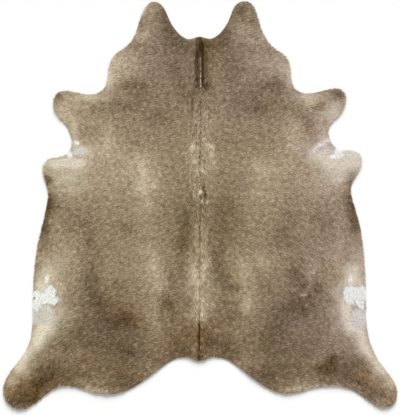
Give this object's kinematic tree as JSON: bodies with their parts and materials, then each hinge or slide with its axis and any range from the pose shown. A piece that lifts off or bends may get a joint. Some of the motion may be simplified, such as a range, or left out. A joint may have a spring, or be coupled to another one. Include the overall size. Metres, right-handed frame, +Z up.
{
  "type": "cowhide rug",
  "caption": "Whole hair-on cow hide laid flat as a rug, with neck, foreleg and hind leg lobes, a raw cut edge and a flat underside.",
  "frame": {"origin": "on the floor, under the middle of the hide's outline", "axes": "+Z up, towards the hair side; +Y from the rump to the neck, the hide's long way; +X across it, to the right seen from above"},
  "size_m": [2.049, 2.1212, 0.0148],
  "materials": {
    "hair_on_hide": "short taupe hair lying down on tanned skin, satin sheen, with paler flank and armpit patches"
  },
  "bodies": {
    "root": {"cowhide": "hair_on_hide"}
  },
  "joints": []
}
